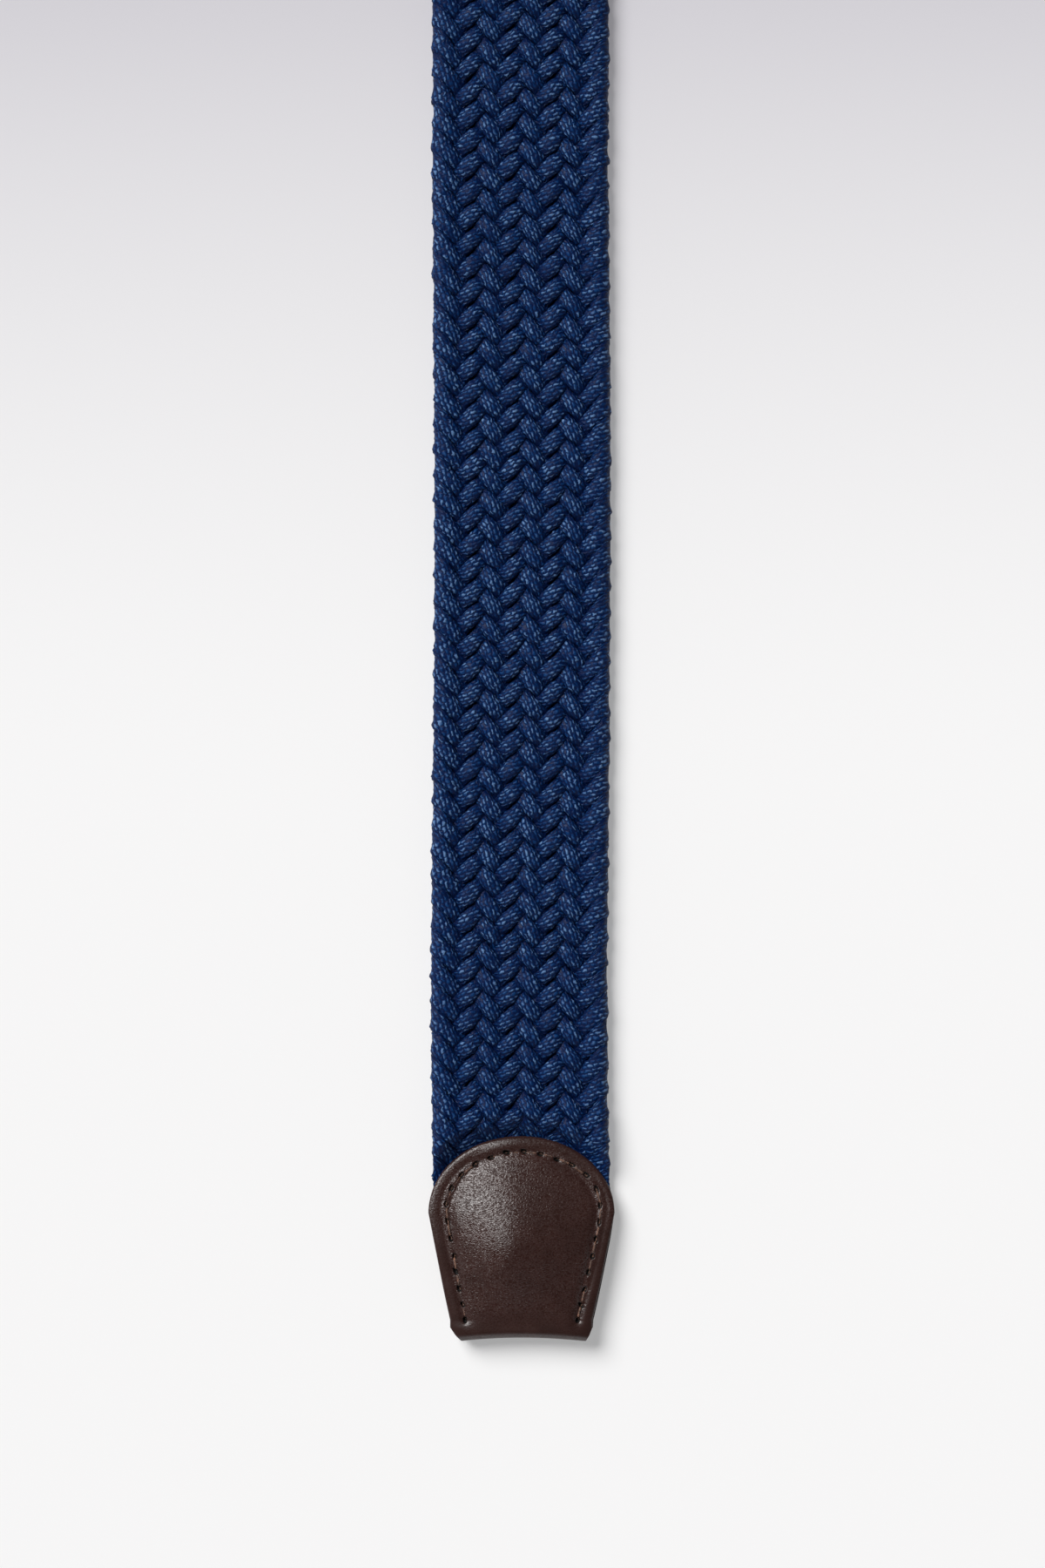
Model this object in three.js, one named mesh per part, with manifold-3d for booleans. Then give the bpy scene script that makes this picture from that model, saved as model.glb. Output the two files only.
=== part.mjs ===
// A braided elastic belt with a leather tip, laid out straight and face up. Millimetres.
// +Y runs along the belt from its tip to its buckle, +X across it, and +Z up from the surface it lies on.
// The origin is the middle of the belt's length and width, on that surface.

import * as THREE from "three";
import * as BufferGeometryUtils from "three/addons/utils/BufferGeometryUtils.js";
import Module from "manifold-3d";

// The whole belt
const BELT_LENGTH = 1050;
const LEATHER = 1.1; // thickness of the leather
const SEAT_GAP = 0.3; // between pieces that touch

// The braided strap: nine flat cords that cross in eight columns
const STRAP = {
  width: 35,
  thickness: 4.0,
  crossingColumns: 8,
  columnPitch: 4.02,
  crownSpacing: 4.96, // from one crown of a column to the next, along the belt
  crownAt: -475.7, // y of a crown in the columns that are ribbed to the right
  grooveDepth: 0.75,
  edgeThickness: 3.1,
  edgeDip: 0.5, // how much lower the edge is between two turns of a cord
  scallop: 0.35, // how far the edge draws in between two turns of a cord
  underWidth: 34,
};

// A leather piece folded over an end of the strap. Its two flaps end in an arch, and their sides taper to the fold.
// Each height or width is worked out from a, the distance from the fold's outermost line.
const ARCH_RISE = 15.0;
const WIDEST = 18.4; // half the width where the arch begins
const CAP_LENGTH = 41.1;
const TAPER_END = 4.4; // a at which the taper ends, and the sides run straight to the fold
const STRAP_IN_CAP = 2.3; // the squeezed strap's thickness between the flaps
const SIDE_DROP = 2.6; // the width over which the front flap comes down beside the strap
const POCKET_GROWTH = { start: 3, length: 9 }; // a over which the space between the flaps grows out of the fold
const STRAP_SHOULDER = { a: 22, share: 0.6, length: 7 }; // where the strap in a flap is nearly at its full width
const ARCH_ROWS = [84, 68, 52, 37, 22, 9]; // degrees round the arch at which a flap has a row of points
const FLAT_ROWS = [22, 17, 12, 9, 6]; // a of the rows between the arch and the fold
const SQUEEZE = { near: 2.5, far: 6.5 }; // the strap swells back to its full thickness this far outside a flap
const STRAP_RISE = { start: 41.5, end: 53 }; // a over which the strap comes down from the flap to the surface

const TIP = {
  foldHalfWidth: 13.9,
  cornerCut: 2.2,
  endHollow: 0.55, // how far the fold's middle lies inside its corners
  foldPocket: 0.8, // the space between the flaps at the fold
  edgePocket: 0.3,
  bulge: 0.5,
  strapEnd: { a: 8, halfWidth: 11.6 },
  foldLine: -BELT_LENGTH / 2,
  along: 1, // +1 where a grows along +Y
};

const BAR_RADIUS = 1.4;
const BUCKLE = {
  width: 47,
  sideBar: 5.2,
  frontBar: 6,
  barToFront: 38, // from the heel bar's centre to the front edge
  thickness: 4.6,
  edgeRound: 0.9,
  heelReach: 3.2, // how far the side bars run past the heel bar
  frontCorner: 7,
  innerCorner: 3,
  prongWidth: 3.4,
  prongThickness: 2.2,
  prongOnFront: 5.6, // height of the prong's top where it lies on the front bar
  prongEnd: { beforeFront: 1.2, droop: 0.3, length: 2.4 }, // the prong's rounded end
  prongRound: 0.5,
};
const BAR_Y = BELT_LENGTH / 2 - BUCKLE.barToFront;
const BAR_Z = BAR_RADIUS + SEAT_GAP + LEATHER;

const TAB = {
  foldHalfWidth: 17.0,
  cornerCut: 0,
  endHollow: 0,
  foldPocket: 2 * (BAR_RADIUS + SEAT_GAP),
  edgePocket: 2 * (BAR_RADIUS + SEAT_GAP),
  bulge: 0,
  strapEnd: { a: 9, halfWidth: 15.6 },
  foldLine: BAR_Y + BAR_Z,
  along: -1,
};
const PRONG_SLOT = { width: 4.6, depth: 7.5 };

const smooth = (t) => THREE.MathUtils.smoothstep(t, 0, 1);
const mix = THREE.MathUtils.lerp;

// Where the arch of a flap begins, as a distance from the fold
const ARCH_START = CAP_LENGTH - ARCH_RISE;

// Half the width of a flap at the distance a from the fold
function flapHalfWidth(cap, a) {
  if (a > ARCH_START) {
    const rise = Math.min((a - ARCH_START) / ARCH_RISE, 1);
    return WIDEST * Math.sqrt(1 - rise * rise);
  }
  return mix(cap.foldHalfWidth, WIDEST, Math.max(a - TAPER_END, 0) / (ARCH_START - TAPER_END));
}

// Half the width of the strap between the flaps
function strapHalfWidth(cap, a) {
  const full = STRAP.width / 2;
  const shoulder = mix(cap.strapEnd.halfWidth, full, STRAP_SHOULDER.share);
  if (a < STRAP_SHOULDER.a) {
    const share = Math.max(a - cap.strapEnd.a, 0) / (STRAP_SHOULDER.a - cap.strapEnd.a);
    return mix(cap.strapEnd.halfWidth, shoulder, share);
  }
  return mix(shoulder, full, smooth((a - STRAP_SHOULDER.a) / STRAP_SHOULDER.length));
}

// Height of the space between the two flaps at x across the belt and a from the fold
function pocketHeight(cap, x, a) {
  const beside = (strapHalfWidth(cap, a) + SIDE_DROP - Math.abs(x)) / SIDE_DROP;
  const overStrap = SEAT_GAP + (STRAP_IN_CAP + SEAT_GAP) * smooth(beside);
  const across = Math.min(Math.abs(x) / flapHalfWidth(cap, Math.min(a, ARCH_START)), 1);
  const atFold = mix(cap.foldPocket, cap.edgePocket, across ** 4);
  const bulge = cap.bulge * (1 - across ** 2) * Math.sin((Math.PI * Math.min(a, CAP_LENGTH)) / CAP_LENGTH) ** 2;
  return mix(atFold, overStrap, smooth((a - POCKET_GROWTH.start) / POCKET_GROWTH.length)) + bulge;
}

// The closed mesh between two matching grids of points, one on each face of a sheet
function sheetBetween(outer, inner) {
  const rows = outer.length;
  const columns = outer[0].length;
  const points = [...outer.flat(), ...inner.flat()];
  const at = (face, row, column) => (face * rows + row) * columns + column;
  const index = [];
  const quad = (a, b, c, d) => index.push(a, b, c, a, c, d);
  for (let r = 0; r + 1 < rows; r++) {
    for (let c = 0; c + 1 < columns; c++) {
      quad(at(0, r, c), at(0, r + 1, c), at(0, r + 1, c + 1), at(0, r, c + 1));
      quad(at(1, r, c), at(1, r, c + 1), at(1, r + 1, c + 1), at(1, r + 1, c));
    }
    quad(at(0, r, 0), at(1, r, 0), at(1, r + 1, 0), at(0, r + 1, 0));
    const last = columns - 1;
    quad(at(0, r, last), at(0, r + 1, last), at(1, r + 1, last), at(1, r, last));
  }
  for (let c = 0; c + 1 < columns; c++) {
    quad(at(0, 0, c), at(0, 0, c + 1), at(1, 0, c + 1), at(1, 0, c));
    const end = rows - 1;
    quad(at(0, end, c), at(1, end, c), at(1, end, c + 1), at(0, end, c + 1));
  }
  return facingOut(points, index);
}

// The closed mesh through rings of points, all with the same number of points.
// Every second strip of it is folded along the other diagonal, so that neighbouring strips are ribbed opposite ways.
function ribbedLoft(rings) {
  const count = rings[0].length;
  const index = [];
  for (let r = 0; r + 1 < rings.length; r++) {
    for (let i = 0; i < count; i++) {
      const next = (i + 1) % count;
      const [a, b] = [r * count + i, r * count + next];
      if (i % 2 === 0) {
        index.push(a, b, a + count, b, b + count, a + count);
      } else {
        index.push(a, b, b + count, a, b + count, a + count);
      }
    }
  }
  const end = (rings.length - 1) * count;
  for (let i = 1; i + 1 < count; i++) {
    index.push(0, i + 1, i, end, end + i, end + i + 1);
  }
  return facingOut(rings.flat(), index);
}

// A geometry from points and triangles, turned so that its faces point out
function facingOut(points, index) {
  let volume = 0;
  for (let i = 0; i < index.length; i += 3) {
    const [a, b, c] = [points[index[i]], points[index[i + 1]], points[index[i + 2]]];
    volume += a.dot(b.clone().cross(c));
  }
  const turned = volume > 0 ? index : index.slice().reverse();
  const geometry = new THREE.BufferGeometry().setFromPoints(points);
  geometry.setIndex(turned);
  geometry.computeVertexNormals();
  return geometry;
}

// The rows of a flap from its arch to where the fold begins, as distances from the fold
function flapRows() {
  const arch = ARCH_ROWS.map((degrees) => {
    return ARCH_START + ARCH_RISE * Math.sin(THREE.MathUtils.degToRad(degrees));
  });
  return [...arch, ARCH_START, ...FLAT_ROWS];
}

// The points across a row: at the middle, over the strap, at the strap's edge and at the flap's edge
function flapColumns(cap, a) {
  const edge = flapHalfWidth(cap, a);
  const strapEdge = Math.min(strapHalfWidth(cap, a), 0.9 * edge);
  const side = [strapEdge / 2, strapEdge, (strapEdge + edge) / 2, edge];
  return [...side.map((x) => -x).reverse(), 0, ...side];
}

// A leather piece with a front flap, a fold and a back flap, as one sheet of even thickness
function foldedLeather(cap) {
  const outer = [];
  const inner = [];
  const place = (x, a, z) => new THREE.Vector3(x, cap.foldLine + cap.along * a, z);
  const rows = flapRows();
  for (const a of rows) {
    const columns = flapColumns(cap, a);
    outer.push(columns.map((x) => place(x, a, 2 * LEATHER + pocketHeight(cap, x, a))));
    inner.push(columns.map((x) => place(x, a, LEATHER + pocketHeight(cap, x, a))));
  }
  const foldSteps = 6;
  for (let i = 0; i <= foldSteps; i++) {
    const turn = (Math.PI * i) / foldSteps;
    const cut = cap.cornerCut * Math.sin(turn);
    const scale = 1 - cut / cap.foldHalfWidth;
    const columns = flapColumns(cap, TAPER_END).map((x) => x * scale);
    const around = (x, inset) => {
      const across = Math.abs(x) / (cap.foldHalfWidth * scale);
      const radius = LEATHER + pocketHeight(cap, x / scale, 0) / 2;
      const centre = radius + cap.endHollow * (1 - across ** 2);
      const reach = radius - inset;
      return place(x, centre - reach * Math.sin(turn), radius + reach * Math.cos(turn));
    };
    outer.push(columns.map((x) => around(x, 0)));
    inner.push(columns.map((x) => around(x, LEATHER)));
  }
  for (const a of rows.slice().reverse()) {
    const columns = flapColumns(cap, a);
    outer.push(columns.map((x) => place(x, a, 0)));
    inner.push(columns.map((x) => place(x, a, LEATHER)));
  }
  return sheetBetween(outer, inner);
}

// How far a point lies outside the arch of a flap, and 0 inside it
function outsideFlap(cap, x, a) {
  const rise = Math.max(a - ARCH_START, 0);
  const share = Math.hypot(x / WIDEST, rise / ARCH_RISE);
  return share <= 1 ? 0 : Math.hypot(x, rise) * (1 - 1 / share);
}

// The cap that is nearer to y, with y's distance from its fold
function nearestCap(y) {
  const cap = y < 0 ? TIP : TAB;
  return { cap, a: (y - cap.foldLine) * cap.along };
}

// One section of the strap: its edges, the lines between its columns of crossings, and its flat underside.
// A crown runs from a high point on one line to a high point on the next line, half a crown's spacing further on.
function strapSection({ y, step }) {
  const { cap, a } = nearestCap(y);
  const halfWidth = Math.min(strapHalfWidth(cap, a), STRAP.width / 2);
  const scale = halfWidth / (STRAP.width / 2);
  const bottom = mix(LEATHER + SEAT_GAP, 0, smooth((a - STRAP_RISE.start) / (STRAP_RISE.end - STRAP_RISE.start)));
  const lines = STRAP.crossingColumns;
  const top = [];
  for (let line = 0; line <= lines; line++) {
    const low = Math.abs(line + step) % 2;
    const isEdge = line === 0 || line === lines;
    const side = Math.sign(line - lines / 2);
    const freeX = isEdge ? side * (STRAP.width / 2 - low * STRAP.scallop) : (line - lines / 2) * STRAP.columnPitch;
    const x = freeX * scale;
    const swell = smooth((outsideFlap(cap, x, a) - SQUEEZE.near) / (SQUEEZE.far - SQUEEZE.near));
    const squeezed = pocketHeight(cap, isEdge ? side * halfWidth : x, a) - 2 * SEAT_GAP;
    const full = isEdge ? STRAP.edgeThickness - low * STRAP.edgeDip : STRAP.thickness - low * STRAP.grooveDepth;
    const height = a < CAP_LENGTH + SQUEEZE.far ? mix(squeezed, full, swell) : full;
    top.push(new THREE.Vector3(x, y, bottom + height));
  }
  const under = (STRAP.underWidth / 2) * scale;
  return [...top, new THREE.Vector3(under, y, bottom), new THREE.Vector3(-under, y, bottom)];
}

// The strap, from its end inside the tip to its end inside the buckle's tab
function braidedStrap() {
  const insideRows = FLAT_ROWS.filter((a) => a > TAB.strapEnd.a).reverse();
  const hidden = (cap) => [cap.strapEnd.a, ...insideRows].map((a) => ({ y: cap.foldLine + cap.along * a, step: 0 }));
  const half = STRAP.crownSpacing / 2;
  const stepAt = (y) => (y - STRAP.crownAt) / half;
  const firstStep = Math.ceil(stepAt(TIP.foldLine + ARCH_START));
  const lastStep = Math.floor(stepAt(TAB.foldLine - ARCH_START));
  const sections = hidden(TIP);
  for (let step = firstStep; step <= lastStep; step++) {
    sections.push({ y: STRAP.crownAt + (step + 0.5) * half, step });
  }
  sections.push(...hidden(TAB).reverse());
  return ribbedLoft(sections.map(strapSection));
}

const wasm = await Module();
wasm.setup();

// A geometry as a manifold solid, with its shared vertices merged
function solidOf(geometry) {
  const bare = geometry.clone();
  bare.deleteAttribute("normal");
  bare.deleteAttribute("uv");
  const merged = BufferGeometryUtils.mergeVertices(bare, 1e-4);
  const vertProperties = new Float32Array(merged.attributes.position.array);
  const triVerts = new Uint32Array(merged.index.array);
  return new wasm.Manifold(new wasm.Mesh({ numProp: 3, vertProperties, triVerts }));
}

// A manifold solid as a geometry
function geometryOf(solid) {
  const mesh = solid.getMesh();
  const points = [];
  for (let i = 0; i < mesh.numVert; i++) {
    points.push(new THREE.Vector3(...mesh.vertProperties.subarray(i * mesh.numProp, i * mesh.numProp + 3)));
  }
  return facingOut(points, Array.from(mesh.triVerts));
}

// The leather tab round the heel bar, slotted at its fold for the prong
function slottedTab() {
  const height = 4 * BAR_Z;
  const slot = new THREE.BoxGeometry(PRONG_SLOT.width, 2 * PRONG_SLOT.depth, height);
  slot.translate(0, TAB.foldLine, height / 4);
  return geometryOf(solidOf(foldedLeather(TAB)).subtract(solidOf(slot)));
}

// The buckle's frame: a front bar and two side bars, open at the heel
function buckleFrame() {
  const half = BUCKLE.width / 2 - BUCKLE.edgeRound;
  const inner = BUCKLE.width / 2 - BUCKLE.sideBar + BUCKLE.edgeRound;
  const front = BELT_LENGTH / 2 - BUCKLE.edgeRound;
  const innerFront = BELT_LENGTH / 2 - BUCKLE.frontBar + BUCKLE.edgeRound;
  const heel = BAR_Y - BUCKLE.heelReach + BUCKLE.edgeRound;
  const outerCorner = BUCKLE.frontCorner;
  const innerCorner = BUCKLE.innerCorner;
  const shape = new THREE.Shape();
  shape.moveTo(inner, heel);
  shape.lineTo(half, heel);
  shape.lineTo(half, front - outerCorner);
  shape.absarc(half - outerCorner, front - outerCorner, outerCorner, 0, Math.PI / 2, false);
  shape.lineTo(-half + outerCorner, front);
  shape.absarc(-half + outerCorner, front - outerCorner, outerCorner, Math.PI / 2, Math.PI, false);
  shape.lineTo(-half, heel);
  shape.lineTo(-inner, heel);
  shape.lineTo(-inner, innerFront - innerCorner);
  shape.absarc(-inner + innerCorner, innerFront - innerCorner, innerCorner, Math.PI, Math.PI / 2, true);
  shape.lineTo(inner - innerCorner, innerFront);
  shape.absarc(inner - innerCorner, innerFront - innerCorner, innerCorner, Math.PI / 2, 0, true);
  shape.closePath();
  const frame = new THREE.ExtrudeGeometry(shape, {
    depth: BUCKLE.thickness - 2 * BUCKLE.edgeRound,
    bevelSize: BUCKLE.edgeRound,
    bevelThickness: BUCKLE.edgeRound,
    bevelSegments: 2,
    curveSegments: 6,
  });
  return frame.translate(0, 0, BUCKLE.edgeRound);
}

// The round bar at the buckle's heel
function heelBar() {
  const reach = BUCKLE.width - BUCKLE.sideBar;
  const bar = new THREE.CylinderGeometry(BAR_RADIUS, BAR_RADIUS, reach, 16);
  return bar.rotateZ(Math.PI / 2).translate(0, BAR_Y, BAR_Z);
}

// The prong, from the heel bar to the top of the front bar
function prong() {
  const tip = BELT_LENGTH / 2 - BUCKLE.prongEnd.beforeFront;
  const rise = BUCKLE.prongOnFront;
  const rootTop = BAR_Z + BAR_RADIUS;
  const side = new THREE.Shape();
  side.moveTo(BAR_Y - BAR_RADIUS / 2, rootTop - BUCKLE.prongThickness);
  side.lineTo(BAR_Y + BAR_RADIUS, rootTop - BUCKLE.prongThickness);
  side.lineTo(tip - BUCKLE.frontBar, rise - BUCKLE.prongThickness);
  side.lineTo(tip, rise - BUCKLE.prongThickness);
  side.quadraticCurveTo(tip, rise - BUCKLE.prongEnd.droop, tip - BUCKLE.prongEnd.length, rise);
  side.lineTo(tip - BUCKLE.frontBar, rise);
  side.lineTo(BAR_Y + BAR_RADIUS, rootTop);
  side.lineTo(BAR_Y - BAR_RADIUS / 2, rootTop);
  side.closePath();
  const round = BUCKLE.prongRound;
  const geometry = new THREE.ExtrudeGeometry(side, {
    depth: BUCKLE.prongWidth - 2 * round,
    bevelSize: round,
    bevelOffset: -round,
    bevelThickness: round,
    bevelSegments: 1,
    curveSegments: 4,
  });
  // the shape's X and Y become the belt's Y and Z
  geometry.applyMatrix4(new THREE.Matrix4().set(0, 0, 1, 0, 1, 0, 0, 0, 0, 1, 0, 0, 0, 0, 0, 1));
  return geometry.translate(-BUCKLE.prongWidth / 2 + round, 0, 0);
}

// The whole buckle, as one plain solid
function buckle() {
  return geometryOf(solidOf(buckleFrame()).add(solidOf(heelBar())).add(solidOf(prong())));
}

const navyBraid = new THREE.MeshStandardMaterial({ color: 0x1c3a6e, roughness: 0.85, metalness: 0 });
const brownLeather = new THREE.MeshStandardMaterial({ color: 0x3c2a27, roughness: 0.5, metalness: 0 });
const satinSteel = new THREE.MeshStandardMaterial({ color: 0xa8a8a6, roughness: 0.35, metalness: 1 });

function named(name, geometry, material) {
  const mesh = new THREE.Mesh(geometry, material);
  mesh.name = name;
  return mesh;
}

const belt = new THREE.Group();
belt.add(named("braided_strap", braidedStrap(), navyBraid));
belt.add(named("leather_tip", foldedLeather(TIP), brownLeather));
belt.add(named("buckle_tab", slottedTab(), brownLeather));
belt.add(named("buckle", buckle(), satinSteel));

export default belt;
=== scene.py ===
"""A braided elastic belt with a leather tip, laid out face up on a pale floor.

All of it is worked out here from named sizes. Lengths are millimetres, and to_metres turns them into
Blender's metres when a mesh is made. +Y runs from the belt's tip to its buckle, and +Z up.
"""

import math
from types import SimpleNamespace as Sizes

import bmesh
import bpy
import numpy as np
from bpy.props import FloatProperty, FloatVectorProperty, IntProperty, PointerProperty
from bpy.types import Operator, Panel, PropertyGroup
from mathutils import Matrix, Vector


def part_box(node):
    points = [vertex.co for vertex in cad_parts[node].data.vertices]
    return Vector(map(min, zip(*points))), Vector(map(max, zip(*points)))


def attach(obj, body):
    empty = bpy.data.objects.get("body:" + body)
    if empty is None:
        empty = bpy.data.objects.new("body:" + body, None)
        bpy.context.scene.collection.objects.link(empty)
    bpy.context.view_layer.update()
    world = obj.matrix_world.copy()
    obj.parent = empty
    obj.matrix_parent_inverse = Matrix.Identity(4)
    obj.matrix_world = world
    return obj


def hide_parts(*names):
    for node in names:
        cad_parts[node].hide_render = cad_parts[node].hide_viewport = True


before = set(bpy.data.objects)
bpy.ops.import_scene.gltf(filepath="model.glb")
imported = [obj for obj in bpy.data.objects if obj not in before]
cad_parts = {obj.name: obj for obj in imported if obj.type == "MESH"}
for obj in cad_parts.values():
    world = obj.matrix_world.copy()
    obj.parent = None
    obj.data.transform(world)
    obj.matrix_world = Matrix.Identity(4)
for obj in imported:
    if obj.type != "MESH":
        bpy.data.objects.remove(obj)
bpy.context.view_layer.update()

bl_info = {
    "name": "Braided Elastic Belt",
    "version": (1, 0, 0),
    "blender": (4, 5, 0),
    "location": "3D Viewport > Sidebar > Belt",
    "description": "Makes a braided elastic belt with a stitched leather tip and a prong buckle",
    "category": "Add Mesh",
}

MM = 0.001
UPWARD = np.array([0.0, 0.0, 1.0])

# Braid: nine cords cross in eight columns, and every second column shows the cords of the other slant
CORDS = 9
COLUMNS = 8
COLUMN_PITCH = 4.02
CROWN_SPACING = 4.96  # from one crown of a column to the next
CROWN_AT = -475.7  # y of one crown in the columns whose crowns rise to the right
STRAP_HALF = 17.5
STRAP_THICK = 4.1
ZIGZAG = 2 * (COLUMNS + 1)  # columns that a cord passes before it is back at its edge
CORD_END = 1.0  # how much shorter than the strap the cords are at each end
SECTION_SIDES = 12
RINGS_PER_COLUMN = 8
NARROWING = (12.6, 2.6)  # start and reach of how a cord's back gets as narrow as its crowns
# How a cord turns back at the strap's edge: the columns that it is past the edge's own, then its
# distance from the strap's middle, sway, height, share of the turn and breadth
EDGE_TURN = (
    (-1.0, 14.3, 0.0, 1.0, 0.0, 1.14),
    (-0.5, 15.85, 0.6, 0.78, 0.14, 1.25),
    (0.0, 16.35, 0.9, 0.0, 0.5, 1.3),
    (0.5, 15.85, 0.6, -0.78, 0.86, 1.25),
    (1.0, 14.3, 0.0, -1.0, 1.0, 1.14),
)
# How uneven a cord is: width, thickness and deepest dent as shares, and its place in millimetres
UNEVEN = Sizes(width=0.03, thick=0.02, dent=0.08, across=0.06, along=0.09)
# Where light reaches a cord, each as a start and a reach: over the strap's middle plane as a share, near its
# edge, beside the cord's middle at the edge, and on the cord's flanks there, which the next cord shades.
# The sleeve's colour is darkened by it as painted shade.
LIT = Sizes(above=(0.42, 0.4), at_edge=(13.4, 1.8), beside=(-0.1, 0.8), flank=(0.7, 0.7), flank_shade=0.75)

# Leather pieces: two flaps with arched ends, folded over the strap's end. a is the distance from the fold.
LEATHER = 1.1
ARCH_RISE = 15.0
WIDEST = 18.4
CAP_LENGTH = 41.1
ARCH_START = CAP_LENGTH - ARCH_RISE
TAPER_END = 4.4
DOME_TOP = 19.0  # how far from the fold the dome over the strap is highest
MOUTH_FALL = 22.0
DOME_SIDEWAYS = -2.2
DOME_ROUND = 0.3
DOME_MARGIN = 0.6  # how far the dome reaches past the stitches
RIM_POCKET = 0.45
LEAST_POCKET = 0.05
FOLD_RUN = 1.1  # how far the fold runs on before the flaps are flat
END_DRAW_REACH = 12.0
LIFT_FROM = 37.0  # the belt's end stands off the floor from here
LIFT_LENGTH = 20.0
RIM_FADE = 10.0  # over this length at the arch the flap's sides come down to the floor
CORNER_REACH = 2.5  # how far up the sides the cut corners of the fold run
PULLED = 0.35  # share of a pinch by which the lower flap is drawn up
FLAT = 0.999  # a point of the flat cut whose side is past this lies on a flap, not in the fold
SHEET_CELLS = (76, 84, 14)  # across the flat cut, along each flap and round the fold
FINER = Sizes(reach=1.1, rounds=2)  # how the cells are split near a stitch hole
# How the back flap peeps out sideways
BACK_SLIDE = Sizes(rise=6.0, until=27.0, fall=7.0)
# The strap tapers from the shoulder to its end, and widens past it
SHOULDER = Sizes(at=22.0, share=0.6, reach=7.0)
# How the strap lies in the leather and beside it
BED = Sizes(
    near_end=70.0,  # the leather shapes the strap up to here
    slack=0.12,
    mouth=(-0.4, 5.0),  # start and reach of its rise to full thickness, outside the arch
    raised=0.06,
    drop=11.0,  # length over which it comes down to the floor
    floor_gap=0.02,
)
# Where the grain is stretched flat: beside the stitches, more so near the fold, and round the fold
GRAIN = Sizes(beside=(0.2, 1.4), least=0.3, most=0.75, side=(18, 10), folded=0.25, fold=(1.5, 7))


def edge_of(node, axis, high):
    """One side of a CAD node's box, in millimetres."""
    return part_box(node)[1 if high else 0][axis] / MM


TIP = Sizes(
    name="tip",
    fold_line=edge_of("leather_tip", 1, False), along=1, fold_half=14.05, corner_cut=2.3,
    right_corner=0.6,  # the right corner's cut as a share of the left one's
    end_hollow=0.75, end_draw=0.78, fold_pocket=1.4, edge_pocket=0.5, dome_pocket=4.4, strap_end=6.0,
    strap_end_half=11.6, back_shift=0.22, rim_lift=0.4, end_lift=1.4, end_roll=0.01, slot_half=0.0,
    slot_depth=0.0,
)
BAR_RADIUS = 1.4
BAR_SIDES = 32
SEAT_GAP = 0.3
TAB = Sizes(
    name="tab",
    fold_line=edge_of("buckle_tab", 1, True), along=-1, fold_half=17.0, corner_cut=0.0,
    right_corner=1.0, end_hollow=0.0, end_draw=0.0, fold_pocket=2 * (BAR_RADIUS + SEAT_GAP),
    edge_pocket=2 * (BAR_RADIUS + SEAT_GAP), dome_pocket=3.4, strap_end=9.0, strap_end_half=15.6,
    back_shift=0.0, rim_lift=0.0, end_lift=0.0, end_roll=0.0, slot_half=2.3, slot_depth=7.5,
)

# Stitches: a line that follows the arch and the two sides
SEAM = Sizes(half=15.4, start=26.5, rise=11.5, sideways=0.45, leg_end=4.65, leg_inset=3.05)
LINE_POINTS = 240
PINCH = Sizes(depth=0.75, reach=0.9, wide_depth=0.3, wide_reach=2.6)
# How the holes differ: their sizes as shares, and their places and turns
HOLES = Sizes(sizes=(0.85, 1.15), sideways=0.09, along=0.12, turn=0.22)
# A stitch: its rings, how deep it dives, how much of it lies level and rises, and its plies
STITCH = Sizes(sides=8, rings=17, dive=1.5, level=0.4, rise=0.16, plies=4, twist=1.6)

# Buckle: a plain frame, its heel bar in the tab's fold and its prong in the tab's slot
BUCKLE = Sizes(
    half=edge_of("buckle", 0, True), front=edge_of("buckle", 1, True),
    heel=edge_of("buckle", 1, False), side_bar=5.2, front_bar=6.0, outer_corner=7.0,
    inner_corner=2.6, thick=4.6, end_round=1.0, boxy=4.5,
    bar_y=TAB.fold_line - BAR_RADIUS - SEAT_GAP - LEATHER,
    bar_z=BAR_RADIUS + SEAT_GAP + LEATHER,
)
PRONG = Sizes(
    half=1.7, root_thick=1.3, thick=2.0, end_before_front=1.2, end_round=0.8, seat=1.15,
    seat_side=0.9,
    seat_start=(-2.0, 1.5),  # start and reach, from the front bar's inner edge
    curl=(-70, -268),  # degrees round the heel bar
    bend=(0.78, 0.16),  # start and reach of the step down to the front bar, as shares
    arched=0.35, thickens=0.25, narrows=(0.5, 0.5), boxy=3.2,
    end_share=0.78,  # the end's width as a share of the root's
    blunt=(0.55, 0.35),  # width and thickness of the rounded ends' last rings, as shares
)

# How far the strap lies to the side of its own middle, by its distance from the tip's end
DRIFT = Sizes(
    from_tip=(0.0, 30.0, 49.0, 70.0, 100.0, 127.0, 150.0, 180.0, 232.0, 266.0, 320.0),
    sideways=(0.1, 0.15, -0.15, -0.35, -0.1, 0.15, 0.3, 0.3, -0.1, 0.0, 0.0),
)

FLOOR_LEVEL = -0.2
# The photograph's view: its height on the floor, and its middle from the belt's middle line and tip
VIEW = Sizes(height=311.1, sideways=0.35, from_tip=110.8)


def limited(t):
    """No less than 0 and no more than 1."""
    return np.clip(t, 0.0, 1.0)


def smooth(t):
    """Rises from 0 to 1 with level ends."""
    t = limited(t)
    return t * t * (3 - 2 * t)


def rising(value, start, reach):
    """0 up to the start, 1 from start + reach on, and smooth in between."""
    return smooth((value - start) / reach)


def mix(a, b, t):
    return a + (b - a) * t


def together(*parts):
    """Numbers side by side in a new last direction, such as the x, y and z of points."""
    return np.stack(np.broadcast_arrays(*parts), axis=-1)


def unit(vectors):
    return vectors / np.linalg.norm(vectors, axis=-1, keepdims=True)


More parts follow.
